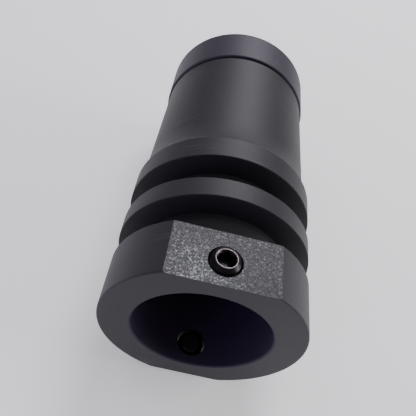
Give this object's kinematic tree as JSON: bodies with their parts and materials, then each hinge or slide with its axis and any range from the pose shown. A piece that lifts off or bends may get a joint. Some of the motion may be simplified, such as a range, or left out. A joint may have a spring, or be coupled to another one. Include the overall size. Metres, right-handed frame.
{
  "type": "laser collimator",
  "caption": "Turned slip-on laser collimator: a grooved clamping sleeve with milled flats and grub screws, a tapered neck, a focus ring, and a negative and a positive lens inside.",
  "frame": {"origin": "centre of the mouth face, where the laser goes in", "axes": "+Y along the optical axis from the mouth to the objective; +Z out of the upper milled flat, along its clamp screw; +X makes the frame right-handed"},
  "size_m": [0.034, 0.0675, 0.034],
  "materials": {
    "black_anodised_aluminium": "bead-blasted, black anodised",
    "blackened_steel": "black oxide",
    "brass": "turned",
    "nylon": "moulded, natural",
    "black_acetal": "turned",
    "nitrile_rubber": "moulded, matt",
    "optical_glass": "polished and coated"
  },
  "bodies": {
    "sleeve_and_neck": {"clamp_sleeve": "black_anodised_aluminium", "laser_stop_washer": "nylon", "neck_barrel": "black_anodised_aluminium", "focus_guide_pin": "brass", "input_lens_cell": "brass", "input_lens": "optical_glass", "input_retaining_ring": "brass", "baffle_ring": "black_anodised_aluminium"},
    "objective_group": {"objective_cell": "black_anodised_aluminium", "damping_o_rings": "nitrile_rubber", "travel_stop_ring": "brass", "objective_flint": "optical_glass", "objective_crown": "optical_glass", "lens_shim": "nylon", "objective_retaining_ring": "black_anodised_aluminium", "ring_keeper": "black_anodised_aluminium"},
    "focus_ring": {"focus_ring": "black_anodised_aluminium"},
    "upper_clamp_tip": {"upper_clamp_tip": "black_acetal"},
    "upper_clamp_screw": {"upper_clamp_screw": "blackened_steel"},
    "lower_clamp_tip": {"lower_clamp_tip": "black_acetal"},
    "lower_clamp_screw": {"lower_clamp_screw": "blackened_steel"}
  },
  "joints": [
    {"name": "focus_travel", "type": "slide", "parent": "sleeve_and_neck", "child": "objective_group", "axis": [0, 1, 0], "range_m": [0, 0.00155]},
    {"name": "focus_turn", "type": "hinge", "parent": "objective_group", "child": "focus_ring", "pos_m": [0, 0.0625, 0], "axis": [0, 1, 0], "range_deg": [0, 720]},
    {"name": "upper_clamp_feed", "type": "slide", "parent": "sleeve_and_neck", "child": "upper_clamp_tip", "axis": [0, 0, -1], "range_m": [0, 0.00165]},
    {"name": "upper_clamp_turn", "type": "hinge", "parent": "upper_clamp_tip", "child": "upper_clamp_screw", "pos_m": [0, 0.0042, 0.0155], "axis": [0, 0, -1], "range_deg": [0, 720]},
    {"name": "lower_clamp_feed", "type": "slide", "parent": "sleeve_and_neck", "child": "lower_clamp_tip", "axis": [0, 0, 1], "range_m": [0, 0.00165]},
    {"name": "lower_clamp_turn", "type": "hinge", "parent": "lower_clamp_tip", "child": "lower_clamp_screw", "pos_m": [0, 0.0042, -0.0155], "axis": [0, 0, 1], "range_deg": [0, 720]}
  ],
  "couplings": [
    {"joint": "focus_travel", "follows": "focus_turn", "m_per_rad": 0.00011937},
    {"joint": "upper_clamp_feed", "follows": "upper_clamp_turn", "m_per_rad": 0.00012732},
    {"joint": "lower_clamp_feed", "follows": "lower_clamp_turn", "m_per_rad": 0.00012732}
  ]
}
